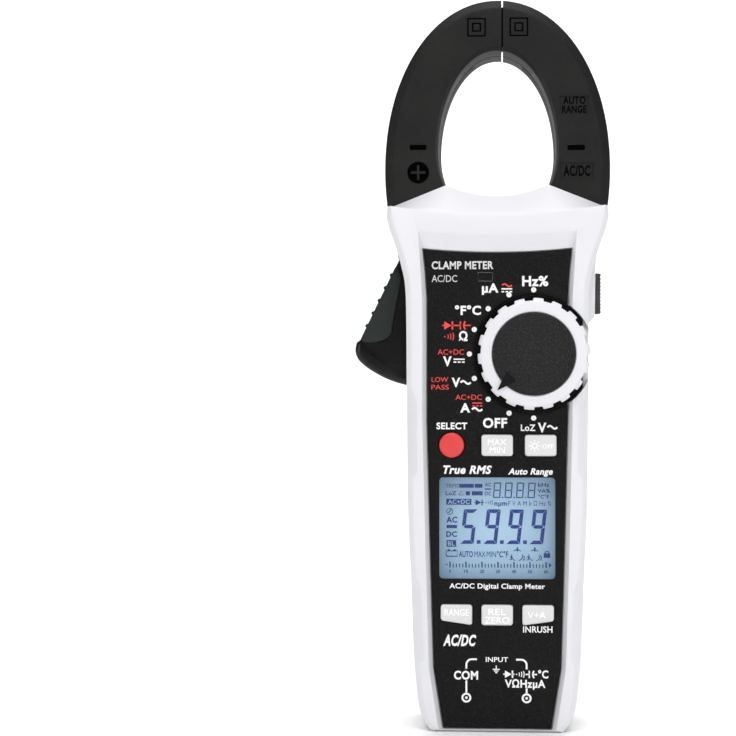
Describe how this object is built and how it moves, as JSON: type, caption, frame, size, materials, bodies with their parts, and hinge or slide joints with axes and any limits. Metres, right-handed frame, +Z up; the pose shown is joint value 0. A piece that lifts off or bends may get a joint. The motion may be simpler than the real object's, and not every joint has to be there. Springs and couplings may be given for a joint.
{
  "type": "clamp meter",
  "caption": "Handheld clamp meter: white housing, black oval jaws with a side trigger, rotary range knob, lit display, keys and test lead sockets in its lower end.",
  "frame": {"origin": "middle of the flat bottom end, on the socket block between the two sockets", "axes": "+Z up towards the jaws, front face towards -Y, +X to the right of someone who reads the display"},
  "size_m": [0.0813, 0.0418, 0.2313],
  "materials": {
    "white_plastic": "fine satin",
    "black_plastic": "fine grain",
    "faceplate_black": "fine sparkle grain",
    "gloss_black": "smooth gloss",
    "grip_rubber": "matt",
    "seal_rubber": "matt",
    "red_key": "satin",
    "key_grey": "satin",
    "clear_window": "clear",
    "display_glass": "lit from behind",
    "board_green": "solder mask",
    "steel": "plain",
    "brass": "plain",
    "battery_case": "satin"
  },
  "bodies": {
    "meter_body": {"battery": "battery_case", "battery_gasket": "seal_rubber", "battery_snap": "seal_rubber", "bridge_core": "steel", "buzzer": "gloss_black", "com_contact": "brass", "detent_spring": "steel", "faceplate": "faceplate_black", "fixed_core": "steel", "fixed_jaw_front_shell": "black_plastic", "fixed_jaw_rear_shell": "black_plastic", "front_housing": "white_plastic", "hall_sensor": "gloss_black", "housing_screw_1": "steel", "housing_screw_2": "steel", "housing_screw_3": "steel", "housing_screw_4": "steel", "input_contact": "brass", "jaw_pivot_pin": "steel", "jaw_return_spring": "steel", "knob_seal": "seal_rubber", "lcd_backlight": "key_grey", "lcd_connector_bottom": "seal_rubber", "lcd_connector_top": "seal_rubber", "lcd_panel": "display_glass", "lcd_window": "clear_window", "lower_key_mat": "seal_rubber", "main_board": "board_green", "rear_housing": "white_plastic", "sensor_window": "gloss_black", "side_switch": "steel", "socket_block": "black_plastic", "upper_key_mat": "seal_rubber"},
    "moving_jaw": {"moving_jaw_front_shell": "black_plastic", "moving_jaw_rear_shell": "black_plastic", "moving_core": "steel", "trigger_lever": "gloss_black", "trigger_grip": "grip_rubber"},
    "range_knob": {"knob_ring": "white_plastic", "knob_cap": "black_plastic", "knob_shaft": "white_plastic", "range_rotor": "white_plastic", "range_wiper": "brass"},
    "select_key": {"select_key": "red_key"},
    "max_min_key": {"max_min_key": "key_grey"},
    "light_key": {"light_key": "key_grey"},
    "range_key": {"range_key": "key_grey"},
    "zero_key": {"zero_key": "key_grey"},
    "inrush_key": {"inrush_key": "key_grey"},
    "side_button": {"side_button": "seal_rubber"},
    "battery_cover": {"battery_cover": "white_plastic", "battery_cover_screw": "steel"}
  },
  "joints": [
    {"name": "jaw_hinge", "type": "hinge", "parent": "meter_body", "child": "moving_jaw", "pos_m": [-0.022, 0, 0.1553], "axis": [0, -1, 0], "range_deg": [0, 24], "stiffness_Nm_per_rad": 0.8, "springref_deg": -28.65},
    {"name": "knob_turn", "type": "hinge", "parent": "meter_body", "child": "range_knob", "pos_m": [0.0114, 0, 0.1187], "axis": [0, -1, 0], "range_deg": [-135, 45]},
    {"name": "select_key_press", "type": "slide", "parent": "meter_body", "child": "select_key", "axis": [0, 1, 0], "range_m": [0, 0.0008], "stiffness_N_per_m": 1500},
    {"name": "max_min_key_press", "type": "slide", "parent": "meter_body", "child": "max_min_key", "axis": [0, 1, 0], "range_m": [0, 0.0008], "stiffness_N_per_m": 1500},
    {"name": "light_key_press", "type": "slide", "parent": "meter_body", "child": "light_key", "axis": [0, 1, 0], "range_m": [0, 0.0008], "stiffness_N_per_m": 1500},
    {"name": "range_key_press", "type": "slide", "parent": "meter_body", "child": "range_key", "axis": [0, 1, 0], "range_m": [0, 0.0008], "stiffness_N_per_m": 1500},
    {"name": "zero_key_press", "type": "slide", "parent": "meter_body", "child": "zero_key", "axis": [0, 1, 0], "range_m": [0, 0.0008], "stiffness_N_per_m": 1500},
    {"name": "inrush_key_press", "type": "slide", "parent": "meter_body", "child": "inrush_key", "axis": [0, 1, 0], "range_m": [0, 0.0008], "stiffness_N_per_m": 1500},
    {"name": "side_button_press", "type": "slide", "parent": "meter_body", "child": "side_button", "axis": [-1, 0, 0], "range_m": [0, 0.001], "stiffness_N_per_m": 1500},
    {"name": "battery_cover_off", "type": "slide", "parent": "meter_body", "child": "battery_cover", "axis": [0, 1, 0], "range_m": [0, 0.02]}
  ]
}
